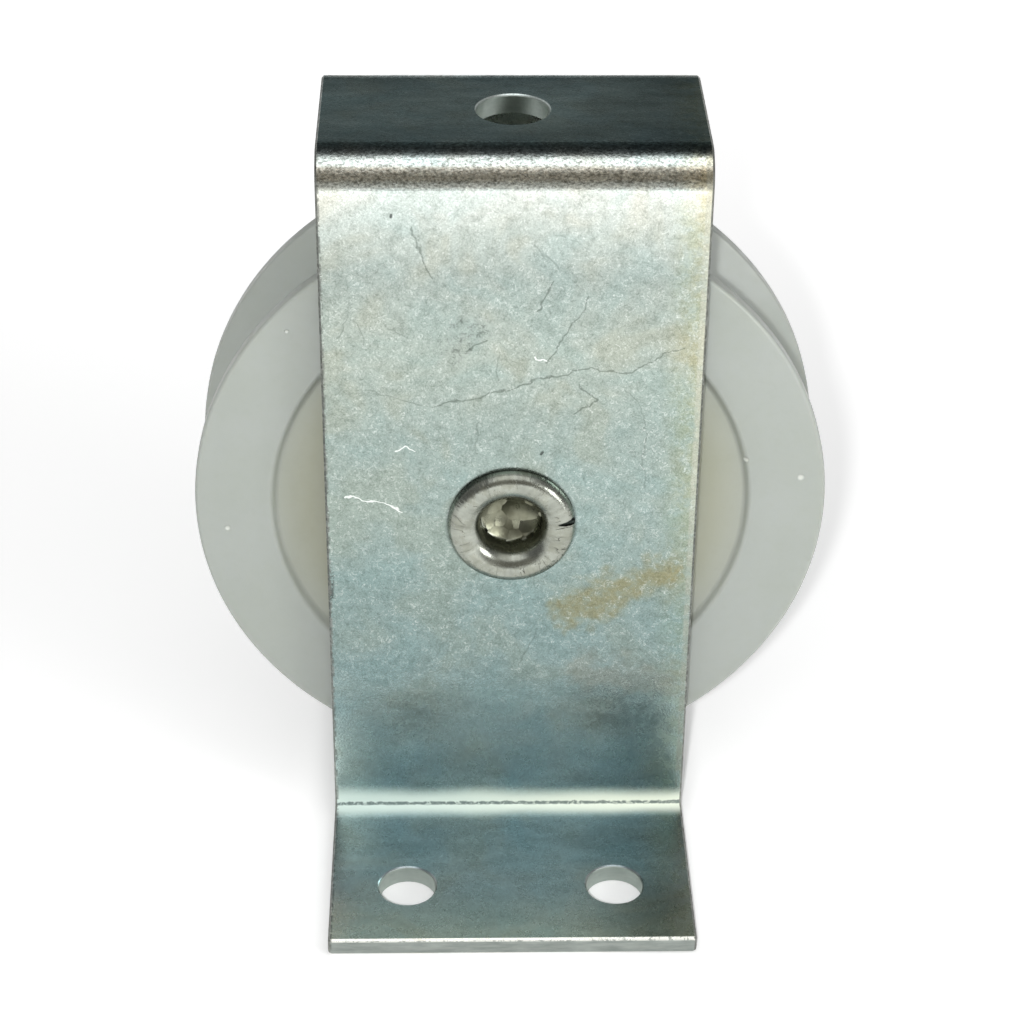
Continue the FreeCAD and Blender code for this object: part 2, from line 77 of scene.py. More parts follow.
def colour_prop(name, description, default):
    return FloatVectorProperty(
        name=name, description=description, subtype="COLOR", size=4, min=0.0, max=1.0,
        default=(*default, 1.0),
    )


def size_prop(name, description, default_mm):
    return FloatProperty(
        name=name, description=description, subtype="DISTANCE", unit="LENGTH",
        default=default_mm * MM, min=0.0, precision=5,
    )


# Settings that a user would change

class StageSettings(bpy.types.PropertyGroup):
    """Floor, lamps and camera"""

    floor_colour: colour_prop("Floor colour", "Colour of the pale floor", (0.94, 0.94, 0.94))
    floor_glow: FloatProperty(
        name="Floor glow", description="Lift that makes the floor read as white", default=0.30, min=0.0
    )
    floor_radius: FloatProperty(
        name="Floor radius", description="Radius of the round floor", subtype="DISTANCE",
        unit="LENGTH", default=12.0, min=1.0,
    )
    sky_strength: FloatProperty(
        name="Soft light", description="Strength of the light tent", default=1.0, min=0.0
    )
    key_power: FloatProperty(
        name="Key lamp", description="Power of the lamp beside the camera", unit="POWER",
        default=0.9, min=0.0,
    )
    fill_power: FloatProperty(
        name="Fill lamp", description="Power of the lamp on the right", unit="POWER",
        default=0.35, min=0.0,
    )
    lens: FloatProperty(
        name="Lens", description="Focal length of the camera in millimetres", default=92.80, min=10.0
    )


class PlateSettings(bpy.types.PropertyGroup):
    """Finish of the folded strip"""

    fresh_colour: colour_prop("Fresh plate", "Zinc where the bluish film is thin", (0.88, 0.97, 0.94))
    # Also carries the painted reflection low on the legs
    low_film_and_reflection_colour: colour_prop("Film", "Bluish green film low on the legs", (0.345, 0.46, 0.46))
    stain_colour: colour_prop("Stain", "Yellow stain in the film", (0.27, 0.255, 0.14))
    # Partly a painted reflection on the bends
    rubbed_and_reflected_colour: colour_prop("Rubbed bend", "Brownish metal rubbed by the folding tool", (0.56, 0.52, 0.44))
    gloss: FloatProperty(
        name="Roughness", description="Roughness of the plated face", default=0.24, min=0.0, max=1.0
    )


class WheelSettings(bpy.types.PropertyGroup):
    """Shape and finish of the nylon wheel"""

    rim_radius: size_prop("Rim radius", "Outside radius of the two flanges", 43.6)
    half_width: size_prop("Half width", "From the middle to a flange's face", 10.2)
    hub_half_width: size_prop("Hub half width", "From the middle to the hub's face", 11.95)
    hub_radius: size_prop("Hub radius", "Radius of the raised hub", 15.0)
    recess_radius: size_prop("Recess radius", "Radius of the shallow recess in each face", 33.0)
    recess_depth: size_prop("Recess depth", "Depth of the recess", 0.8)
    mouth_half_width: size_prop("Groove mouth", "Half the groove's width at the rim", 7.8)
    groove_radius: size_prop("Groove radius", "Radius of the groove's round bottom", 4.2)
    root_radius: size_prop("Root radius", "Radius at the bottom of the groove", 31.5)
    bore_radius: size_prop("Bore radius", "Radius of the bore", 8.1)
    steps: IntProperty(name="Steps", description="Steps round the wheel", default=256, min=24, max=512)
    nylon_colour: colour_prop("Nylon", "Milky nylon of the flanges", (0.345, 0.37, 0.345))
    inner_colour: colour_prop("Inner nylon", "Yellower nylon of the recess", (0.308, 0.318, 0.248))


class RivetSettings(bpy.types.PropertyGroup):
    """Shape and finish of the semi-tubular rivet"""

    flare_radius: size_prop("Flare radius", "Outside radius of the rolled flare", 8.75)
    flare_height: size_prop("Flare height", "Height of the roll over the leg", 1.8)
    bore_radius: size_prop("Bore radius", "Radius of the tubular end's bore", 4.3)
    shank_radius: size_prop("Shank radius", "Radius of the shank", 6.35)
    head_radius: size_prop("Head radius", "Radius of the factory head", 10.3)
    head_height: size_prop("Head height", "Height of the factory head", 2.6)
    split_depth: size_prop("Split depth", "Depth of the split in the flare", 2.25)
    split_width: size_prop("Split width", "Width of the split at the lip", 0.75)
    steps: IntProperty(name="Steps", description="Steps round the rivet", default=384, min=48, max=720)
    steel_colour: colour_prop("Rivet steel", "Bright, slightly brown plated steel", (0.35, 0.368, 0.322))
    sleeve_colour: colour_prop("Sleeve steel", "Plain tube", (0.50, 0.50, 0.48))


# Short calls for building a material's nodes

class Recipe:
    """Adds nodes to one tree and joins them up"""

    def __init__(self, tree):
        self.tree = tree
        tree.nodes.clear()

    def put(self, socket, value):
        if isinstance(value, bpy.types.NodeSocket):
            self.tree.links.new(value, socket)
        else:
            socket.default_value = value

    def node(self, kind, inputs=None, **fields):
        made = self.tree.nodes.new(kind)
        for name, value in fields.items():
            setattr(made, name, value)
        for key, value in (inputs or {}).items():
            self.put(made.inputs[key], value)
        return made

    def math(self, operation, *values, clamp=False):
        made = self.node("ShaderNodeMath", dict(enumerate(values)), operation=operation, use_clamp=clamp)
        return made.outputs[0]

    def times(self, first, second):
        return self.math("MULTIPLY", first, second)

    def plus(self, first, second):
        return self.math("ADD", first, second)

    def minus(self, first, second):
        return self.math("SUBTRACT", first, second)

    def larger(self, first, second):
        return self.math("MAXIMUM", first, second)

    def smaller(self, first, second):
        return self.math("MINIMUM", first, second)

    def unsigned(self, value):
        return self.math("ABSOLUTE", value)

    def vector(self, operation, *values, out=0):
        made = self.node("ShaderNodeVectorMath", dict(enumerate(values)), operation=operation)
        return made.outputs[out]

    def length(self, value):
        return self.vector("LENGTH", value, out=1)

    def dot(self, first, second):
        return self.vector("DOT_PRODUCT", first, second, out=1)

    def fade(self, value, start, end, low=0.0, high=1.0):
        made = self.node(
            "ShaderNodeMapRange",
            {"Value": value, "From Min": start, "From Max": end, "To Min": low, "To Max": high},
            interpolation_type="SMOOTHSTEP",
        )
        return made.outputs["Result"]

    def ramp(self, value, stops):
        made = self.node("ShaderNodeValToRGB", {"Fac": value})
        elements = made.color_ramp.elements
        while len(elements) < len(stops):
            elements.new(0.5)
        for element, (place, colour) in zip(elements, stops):
            element.position = place
        for element, (place, colour) in zip(elements, stops):
            element.color = (*colour[:3], 1.0)
        return made.outputs["Color"]

    def mix(self, amount, first, second, blend="MIX"):
        made = self.node("ShaderNodeMix", data_type="RGBA", blend_type=blend)
        for socket, value in zip((made.inputs[0], made.inputs[6], made.inputs[7]), (amount, first, second)):
            self.put(socket, value)
        return made.outputs[2]

    def tint(self, amount, colour, shade):
        return self.mix(amount, colour, shade, "MULTIPLY")

    def noise(self, where, scale, detail=2.0, roughness=0.5, distortion=0.0, out="Fac"):
        made = self.node(
            "ShaderNodeTexNoise",
            {"Vector": where, "Scale": scale, "Detail": detail, "Roughness": roughness,
             "Distortion": distortion},
        )
        return made.outputs[out]

    def bump(self, height):
        """Shading normal from a height in millimetres"""
        made = self.node("ShaderNodeBump", {"Height": height, "Strength": 1.0, "Distance": MM})
        return made.outputs["Normal"]

    def place(self, location=(0.0, 0.0, 0.0)):
        """The point on the object in millimetres, moved as asked"""
        source = self.node("ShaderNodeTexCoord").outputs["Object"]
        made = self.node(
            "ShaderNodeMapping",
            {"Vector": source, "Scale": (1000.0, 1000.0, 1000.0), "Location": location},
        )
        return made.outputs["Vector"]

    def split(self, value):
        return self.node("ShaderNodeSeparateXYZ", {"Vector": value}).outputs

    def join(self, x, y, z):
        return self.node("ShaderNodeCombineXYZ", {0: x, 1: y, 2: z}).outputs[0]

    def finish(self, shader):
        self.node("ShaderNodeOutputMaterial", {"Surface": shader})


def new_material(name):
    material = bpy.data.materials.new(name)
    material.use_nodes = True
    return material, Recipe(material.node_tree)


def stroke_group():
    """Node group: how far a point is from a straight stroke between two points"""
    name = "distance_to_stroke"
    if name in bpy.data.node_groups:
        return bpy.data.node_groups[name]
    group = bpy.data.node_groups.new(name, "ShaderNodeTree")
    for label in ("Point", "Start", "End"):
        group.interface.new_socket(label, in_out="INPUT", socket_type="NodeSocketVector")
    group.interface.new_socket("Distance", in_out="OUTPUT", socket_type="NodeSocketFloat")
    make = Recipe(group)
    given = make.node("NodeGroupInput").outputs
    along = make.vector("SUBTRACT", given["End"], given["Start"])
    offset = make.vector("SUBTRACT", given["Point"], given["Start"])
    share = make.math("DIVIDE", make.dot(offset, along), make.dot(along, along), clamp=True)
    nearest = make.vector("MULTIPLY", along, make.join(share, share, share))
    away = make.length(make.vector("SUBTRACT", offset, nearest))
    make.node("NodeGroupOutput", {"Distance": away})
    return group


def distance_to_strokes(make, point, lines):
    """Least distance from the point to a set of bent lines, each a list of (x, z) in mm"""
    group = stroke_group()
    least = None
    for line in lines:
        for start, end in zip(line, line[1:]):
            made = make.node("ShaderNodeGroup", node_tree=group)
            make.put(made.inputs["Point"], point)
            made.inputs["Start"].default_value = (start[0], 0.0, start[1])
            made.inputs["End"].default_value = (end[0], 0.0, end[1])
            away = made.outputs["Distance"]
            least = away if least is None else make.smaller(least, away)
    return least


# Marks on the front leg, as (x, z) in mm from the part's origin

DARK_HAIRLINES = [
    [(-11.0, 69.8), (3.3, 74.1), (10.2, 75.6), (14.9, 75.3), (22.7, 78.9)],
    [(9.9, 86.3), (4.6, 76.5)],
    [(-13.3, 96.4), (-10.8, 89.4)],
    [(-6.0, 78.2), (-3.6, 80.1)],
    [(5.2, 88.6), (3.2, 84.4)],
    [(8.6, 73.2), (11.2, 71.0), (8.0, 68.6)],
]
FAINT_HAIRLINES = [
    [(-21.8, 84.0), (-22.8, 80.6)],
    [(-16.8, 82.4), (-14.0, 80.6)],
    [(-20.8, 83.6), (-19.4, 79.2)],
    [(-19.6, 72.4), (-12.4, 70.4)],
    [(17.4, 66.8), (18.2, 57.6)],
    [(3.4, 33.0), (1.4, 27.6)],
    [(-4.6, 67.7), (-4.8, 62.7)],
    [(-1.9, 78.3), (-1.9, 74.0)],
    [(15.3, 72.6), (16.7, 70.8), (17.7, 67.0)],
    [(2.7, 93.9), (5.7, 90.7)],
]
BRIGHT_SCRATCHES = [
    [(-22.8, 56.0), (-15.0, 53.8)],
    [(-15.6, 63.0), (-14.5, 64.0), (-12.9, 63.0)],
    [(3.0, 77.6), (4.6, 76.8)],
]

# Nicks on the wheel's front flange, as (x, z, size) in mm from the axle
NICKS = ((-39.3, -3.5, 0.5), (40.0, 4.5, 0.6), (32.3, 7.3, 0.45), (-30.0, 27.5, 0.35))


# Finishes

def plated_finish(settings):
    """Zinc plate with a bluish film, hairlines, stains and rubbed bends, with painted reflection and shade:
    darker down the legs and on the top plate, brownish on the bends, a highlight in the crease, shaded edges
    and hole walls, a dark ring round the rivet, and a highlight on the sheared ends
    """
    material, make = new_material("plated_strip_finish")
    place = make.place()
    x, y, z = make.split(place)
    side = make.unsigned(x)
    depth = make.unsigned(y)
    front = make.fade(y, -14.0, -14.7)
    flat = make.join(x, 0.0, z)
    fresh = settings.fresh_colour[:3]
    low = settings.low_film_and_reflection_colour[:3]

    # The film thickens from the top bend down to the feet. The ramp's steps up the leg, and the foot's
    # darkening towards the leg, are also painted reflection of a darker room close in front
    wander = make.noise(place, 0.06, 2.0, 0.6)
    height = make.math("DIVIDE", z, BRACKET_HEIGHT)
    height = make.plus(height, make.times(make.minus(wander, 0.5), 0.06))
    film = make.ramp(height, [
        (0.000, tuple(1.40 * value for value in low)),
        (0.125, tuple(1.40 * value for value in low)),
        (0.180, low),
        (0.250, (0.25, 0.335, 0.33)),
        (0.375, (0.26, 0.34, 0.325)),
        (0.500, (0.31, 0.385, 0.36)),
        (0.620, (0.315, 0.38, 0.35)),
        (0.735, (0.37, 0.42, 0.375)),
        (0.845, (0.335, 0.385, 0.355)),
        (0.900, (0.46, 0.51, 0.47)),
        (0.950, (0.66, 0.69, 0.64)),
        (0.975, fresh),
        (0.992, fresh),
        (1.000, tuple(0.80 * value for value in fresh)),
    ])
    foot_film_and_reflection = make.ramp(make.math("DIVIDE", depth, 50.0), [
        (0.30, (0.36, 0.44, 0.48)),
        (0.50, (0.34, 0.41, 0.44)),
        (0.70, (0.58, 0.63, 0.65)),
        (0.86, (0.86, 0.88, 0.82)),
    ])
    film = make.mix(make.times(make.fade(depth, 15.2, 16.4), make.fade(z, 4.6, 3.4)), film, foot_film_and_reflection)
    # Darker low on the right of the leg and on the right of the front foot
    right_low = make.times(make.fade(x, 6.0, 22.0), make.fade(z, 24.0, 14.0))
    film = make.tint(right_low, film, (0.76, 0.78, 0.78, 1.0))
    right_foot = make.times(make.fade(x, 8.0, 22.0), make.fade(depth, 28.0, 38.0))
    film = make.tint(right_foot, film, (0.45, 0.47, 0.46, 1.0))
    # Painted reflection: the top plate darkened, most beside the bends and on the right, for the dark room it
    # mirrors
    on_top = make.fade(z, 105.2, 106.1)
    near_bend = make.fade(depth, 2.0, 10.5, 0.10, 0.95)
    film = make.tint(make.times(on_top, near_bend), film, (0.72, 0.74, 0.76, 1.0))
    right_top = make.times(on_top, make.fade(x, 0.0, 24.0))
    film = make.tint(right_top, film, (0.58, 0.62, 0.64, 1.0))

    # Broad bluish and greyish patches
    patch = make.noise(place, 0.09, 2.0, 0.6, 0.6)
    film = make.tint(make.fade(patch, 0.50, 0.64, 0.0, 0.6), film, (0.91, 0.985, 1.01, 1.0))
    film = make.tint(make.fade(patch, 0.50, 0.38, 0.0, 0.8), film, (1.02, 0.97, 0.92, 1.0))
    blotch = make.noise(place, 0.55, 4.0, 0.65)
    film = make.tint(make.fade(blotch, 0.44, 0.66, 0.0, 0.40), film, (0.83, 0.85, 0.83, 1.0))

    # Fine grain of the plate, and crazing all over the film
    grain = make.noise(place, 3.6, 2.0, 0.65)
    film = make.tint(make.fade(grain, 0.48, 0.72, 0.0, 0.8), film, (0.80, 0.81, 0.79, 1.0))
    film = make.tint(make.fade(grain, 0.50, 0.30, 0.0, 0.7), film, (1.17, 1.16, 1.15, 1.0))
    web = make.noise(place, 0.62, 3.0, 0.6, 1.3)
    craze = make.fade(make.unsigned(make.minus(web, 0.5)), 0.034, 0.008)
    craze = make.times(craze, make.fade(blotch, 0.46, 0.60, 0.06, 0.42))
    fine_web = make.noise(place, 1.5, 2.0, 0.6, 1.2)
    fine = make.fade(make.unsigned(make.minus(fine_web, 0.5)), 0.050, 0.012, 0.0, 0.26)
    glint = make.fade(make.unsigned(make.minus(fine_web, 0.61)), 0.030, 0.008, 0.0, 0.34)
    glint = make.times(glint, make.fade(blotch, 0.58, 0.42, 0.25, 1.0))
    calm = make.fade(z, 14.0, 36.0, 0.30, 1.0)
    craze = make.times(craze, calm)
    glint = make.times(glint, calm)

    # Metal smeared and rubbed by the folding tool on the outside of the top bends; the brownish band is
    # partly a painted reflection of the dark room in front
    bend = make.times(make.fade(z, 101.6, 102.3), make.fade(z, 104.9, 104.3))
    bend = make.times(bend, make.fade(depth, 12.0, 13.0))
    rubbed = make.mix(make.fade(z, 102.6, 103.3), (0.40, 0.405, 0.36, 1.0), settings.rubbed_and_reflected_colour[:])
    film = make.mix(make.times(bend, make.fade(grain, 0.34, 0.62, 1.0, 0.75)), film, rubbed)
    over_bend = make.times(make.fade(z, 101.0, 102.4), make.fade(depth, 8.6, 10.6))
    speckle = make.noise(make.vector("MULTIPLY", place, (0.62, 1.0, 1.0)), 3.3, 2.0, 0.7)
    film = make.tint(make.times(over_bend, make.fade(speckle, 0.46, 0.66)), film, (0.42, 0.42, 0.40, 1.0))
    film = make.tint(make.times(over_bend, make.fade(speckle, 0.46, 0.28)), film, (1.5, 1.5, 1.45, 1.0))

    # Stains low on the right of the front leg
    wobble = make.noise(place, 0.30, 2.0, 0.6, 0.0, "Color")
    wobble = make.vector("MULTIPLY", make.vector("SUBTRACT", wobble, NEUTRAL), (9.0, 0.0, 9.0))
    loose = make.vector("ADD", flat, wobble)
    stain_way = distance_to_strokes(make, loose, [[(8.0, 37.2), (21.5, 43.4)]])
    stain = make.times(make.fade(stain_way, 4.6, 0.6), make.fade(blotch, 0.30, 0.58, 0.45, 1.0))
    film = make.mix(make.times(stain, make.times(front, 0.8)), film, settings.stain_colour[:])
    mist_way = distance_to_strokes(make, loose, [[(11.0, 26.4), (21.6, 25.0)]])
    mist = make.times(make.fade(mist_way, 4.8, 0.4, 0.0, 0.45), front)
    film = make.mix(mist, film, (0.27, 0.27, 0.22, 1.0))

    # Lighter, yellower band beside the right slit edge, and a narrow band along that edge, darker low on the
    # leg, painted as the shading of its rounded corner
    edge_mottle = make.fade(blotch, 0.36, 0.60, 0.35, 1.0)
    right = make.times(make.fade(x, 19.0, 24.8), edge_mottle)
    right = make.times(right, make.fade(z, 30.0, 66.0, 0.6, 1.0))
    film = make.tint(right, film, (1.14, 1.03, 0.82, 1.0))
    # Painted shade and reflection of the right edge's rounded corner
    strip = make.times(make.fade(x, 24.15, 24.55), edge_mottle)
    edge_band_shade = make.mix(make.fade(z, 14.0, 70.0), (0.32, 0.345, 0.30, 1.0), (0.54, 0.55, 0.47, 1.0))
    film = make.mix(make.times(strip, 0.60), film, edge_band_shade)

    # Lighter low on the left of the front leg and on the foot beside it
    left_low = make.times(make.fade(x, -17.0, -23.5), make.fade(z, 22.0, 10.0))
    left_low = make.times(left_low, make.fade(depth, 32.0, 24.0))
    film = make.tint(make.times(left_low, 0.8), film, (1.36, 1.28, 1.22, 1.0))

    # Hairlines and scratches
    shake = make.noise(place, 0.45, 2.0, 0.55, 0.0, "Color")
    shake = make.vector("MULTIPLY", make.vector("SUBTRACT", shake, NEUTRAL), (2.0, 0.0, 2.0))
    shaken = make.vector("ADD", flat, shake)
    hair = make.fade(distance_to_strokes(make, shaken, DARK_HAIRLINES), 0.19, 0.04, 0.0, 0.72)
    faint = make.fade(distance_to_strokes(make, shaken, FAINT_HAIRLINES), 0.17, 0.04, 0.0, 0.45)
    hair = make.times(make.larger(hair, faint), front)
    dark = make.larger(make.larger(hair, craze), fine)
    film = make.mix(dark, film, make.tint(1.0, film, (0.36, 0.38, 0.36, 1.0)))
    bright = make.fade(distance_to_strokes(make, shaken, BRIGHT_SCRATCHES), 0.14, 0.04, 0.0, 0.75)
    bright = make.larger(make.times(bright, front), glint)
    film = make.mix(bright, film, (0.90, 0.93, 0.90, 1.0))

    # Pits: a smudge left of the middle, dark spots on the left edge and dots
    smudge_way = distance_to_strokes(make, loose, [[(-8.6, 78.6), (-4.6, 82.2)]])
    smudge = make.times(make.fade(smudge_way, 3.4, 0.8, 0.0, 0.55), make.fade(fine_web, 0.52, 0.62))
    spot_way = distance_to_strokes(make, flat, [[(-25.0, 43.4), (-25.1, 39.4)]])
    spots = make.times(make.fade(spot_way, 0.7, 0.25), make.fade(fine_web, 0.44, 0.54))
    dot_way = distance_to_strokes(make, flat, [[(3.9, 62.6), (4.1, 62.9)], [(-15.8, 98.0), (-15.75, 98.3)]])
    pits = make.larger(make.larger(smudge, spots), make.fade(dot_way, 0.26, 0.10))
    film = make.mix(make.times(pits, make.times(front, 0.85)), film, (0.05, 0.06, 0.055, 1.0))

    # A dark ring on the leg round the rivet's flare and head: partly the setting tool's line, partly painted
    # shade under the rolled lip
    from_axle = make.length(make.join(x, 0.0, make.minus(z, AXLE_HEIGHT)))
    tool_ring_and_shade = make.times(make.fade(from_axle, 9.25, 8.75), make.fade(depth, 14.0, 14.7))
    film = make.mix(make.times(tool_ring_and_shade, 0.6), film, (0.07, 0.085, 0.08, 1.0))

    # Painted highlight: a light, less metallic band in the hollow between foot and leg, lighter to the right,
    # for the bright reflection in that hollow; and a thin broken dark line along the crease
    hollow = make.larger(make.minus(z, THICKNESS), make.minus(depth, LEG_FACE))
    hollow = make.plus(hollow, make.times(make.minus(wander, 0.5), 1.6))
    crease_highlight = make.times(make.fade(hollow, 3.7, 0.9), make.fade(z, 9.0, 7.0))
    crease_highlight_colour = make.mix(make.fade(x, -22.0, 22.0), (0.62, 0.74, 0.69, 1.0), (0.78, 0.84, 0.72, 1.0))
    film = make.mix(crease_highlight, film, crease_highlight_colour)
    wave = make.times(make.minus(web, 0.5), 0.9)
    crease_way = make.plus(
        make.unsigned(make.minus(depth, 15.15)),
        make.unsigned(make.minus(z, make.plus(wave, 2.92))),
    )
    crease = make.times(make.fade(crease_way, 0.45, 0.18), make.fade(web, 0.38, 0.50, 0.35, 0.85))
    film = make.mix(crease, film, (0.06, 0.10, 0.10, 1.0))

    # Sheared ends, slit edges and punched walls
    end = make.fade(depth, FOOT_END - 0.10, FOOT_END - 0.03)
    end_grain = make.noise(make.vector("MULTIPLY", place, (0.25, 1.0, 1.6)), 1.2, 3.0, 0.6)
    end_colour = make.ramp(end_grain, [(0.30, (0.25, 0.28, 0.26)), (0.70, (0.37, 0.40, 0.375))])
    film = make.mix(end, film, end_colour)
    # Painted highlight along the top edge of each sheared end
    lip = make.times(make.fade(depth, FOOT_END - 0.50, FOOT_END - 0.30), make.fade(z, 2.15, 2.35))
    lip = make.times(lip, make.fade(fine_web, 0.40, 0.50, 0.1, 0.75))
    film = make.mix(lip, film, (1.0, 1.0, 0.93, 1.0))
    # Painted shade along both slit edges, ragged on the left of the front leg
    slit = make.fade(side, HALF_STRIP - 0.34, HALF_STRIP - 0.22)
    ragged = make.fade(x, 0.65 - HALF_STRIP, 0.35 - HALF_STRIP)
    ragged = make.times(ragged, make.fade(web, 0.44, 0.52, 0.0, 0.8))
    slit = make.larger(slit, make.times(ragged, front))
    slit_colour = make.ramp(fine_web, [(0.40, (0.10, 0.105, 0.095)), (0.62, (0.26, 0.27, 0.25))])
    film = make.mix(make.times(slit, 0.88), film, slit_colour)
    # Painted shade on the walls of the punched holes
    foot_hole = make.length(make.join(
        make.minus(side, FOOT_HOLE[0]), make.minus(depth, FOOT_HOLE[1]), 0.0
    ))
    top_hole = make.length(make.join(x, y, 0.0))
    wall = make.larger(make.fade(foot_hole, 4.10, 4.02), make.fade(top_hole, 4.92, 4.82))
    film = make.mix(wall, film, make.mix(end_grain, (0.30, 0.36, 0.33, 1.0), (0.50, 0.55, 0.51, 1.0)))

    # Grain that roughens the reflections, and the soft swell on both sides of the crease
    ripple = make.noise(place, 3.1, 2.0, 0.6)
    waves = make.noise(make.vector("MULTIPLY", place, (0.5, 1.0, 1.0)), 0.16, 2.0, 0.5)
    stretched = make.fade(z, 100.0, 102.0, 0.013, 0.022)
    height_map = make.plus(make.times(ripple, stretched), make.times(waves, 0.16))
    leg_gap = make.minus(4.6, make.smaller(make.larger(z, THICKNESS), 4.6))
    foot_gap = make.minus(18.2, make.smaller(make.larger(depth, LEG_FACE), 18.2))
    swell = make.plus(make.times(leg_gap, leg_gap), make.times(foot_gap, foot_gap))
    swell = make.times(swell, 0.12)
    height_map = make.plus(height_map, swell)
    normal = make.bump(height_map)
    rough = make.fade(blotch, 0.30, 0.70, settings.gloss - 0.03, settings.gloss + 0.06)
    rough = make.plus(rough, make.times(make.larger(end, slit), 0.18))
    rough = make.plus(rough, make.times(make.larger(crease_highlight, wall), 0.22))
    shader = make.node(
        "ShaderNodeBsdfPrincipled",
        {"Base Color": film, "Metallic": make.minus(1.0, make.times(crease_highlight, 0.75)),
         "Roughness": rough, "Normal": normal},
    )
    make.finish(shader.outputs[0])
    return material


def nylon_finish(settings):
    """Milky nylon, yellower inside the recess, with faint turning rings"""
    material, make = new_material("natural_nylon_finish")
    place = make.place(location=(0.0, 0.0, -AXLE_HEIGHT))
    x, y, z = make.split(place)
    radius = make.length(make.join(x, 0.0, z))
    cloud = make.noise(place, 0.06, 3.0, 0.55)
    soft = make.noise(place, 0.7, 3.0, 0.6)
    share = make.math("DIVIDE", radius, 50.0)
    inner = settings.inner_colour[:3]
    outer = settings.nylon_colour[:3]
    # Yellower inside the recess; the ramp also darkens towards the hub, which is painted shade from the legs
    # beside it
    body = make.ramp(share, [
        (0.30, tuple(0.80 * value for value in inner)),
        (0.56, inner),
        (0.64, tuple(0.5 * (a + b) for a, b in zip(inner, outer))),
        (0.668, tuple(0.97 * value for value in outer)),
        (0.72, outer),
        (0.84, outer),
        (0.875, tuple(0.95 * value for value in outer)),
    ])
    body = make.tint(make.fade(cloud, 0.40, 0.66, 0.0, 0.5), body, (0.93, 0.94, 0.90, 1.0))
    body = make.tint(make.fade(soft, 0.45, 0.70, 0.0, 0.35), body, (0.95, 0.95, 0.93, 1.0))

    # Small nicks on the flanges
    nicks = None
    for nick_x, nick_z, size in NICKS:
        offset = make.vector("SUBTRACT", make.join(x, 0.0, z), (nick_x, 0.0, nick_z))
        spot = make.fade(make.length(offset), size, size * 0.35)
        nicks = spot if nicks is None else make.larger(nicks, spot)
    nicks = make.times(nicks, make.fade(y, -9.0, -9.8))
    body = make.mix(make.times(nicks, 0.5), body, (0.80, 0.82, 0.76, 1.0))

    rings = make.noise(make.join(radius, 0.0, y), 3.5, 2.0, 0.5)
    pores = make.noise(place, 3.0, 2.0, 0.6)
    dents = make.noise(place, 0.11, 2.0, 0.5)
    height_map = make.plus(make.times(rings, 0.006), make.times(pores, 0.006))
    height_map = make.plus(height_map, make.times(dents, 0.10))
    height_map = make.minus(height_map, make.times(nicks, 0.15))
    normal = make.bump(height_map)
    shader = make.node(
        "ShaderNodeBsdfPrincipled",
        {"Base Color": body, "Roughness": make.fade(soft, 0.3, 0.7, 0.30, 0.40), "IOR": 1.53,
         "Subsurface Weight": 0.55, "Subsurface Radius": (1.0, 0.95, 0.8), "Subsurface Scale": 0.0035,
         "Normal": normal},
    )
    make.finish(shader.outputs[0])
    return material


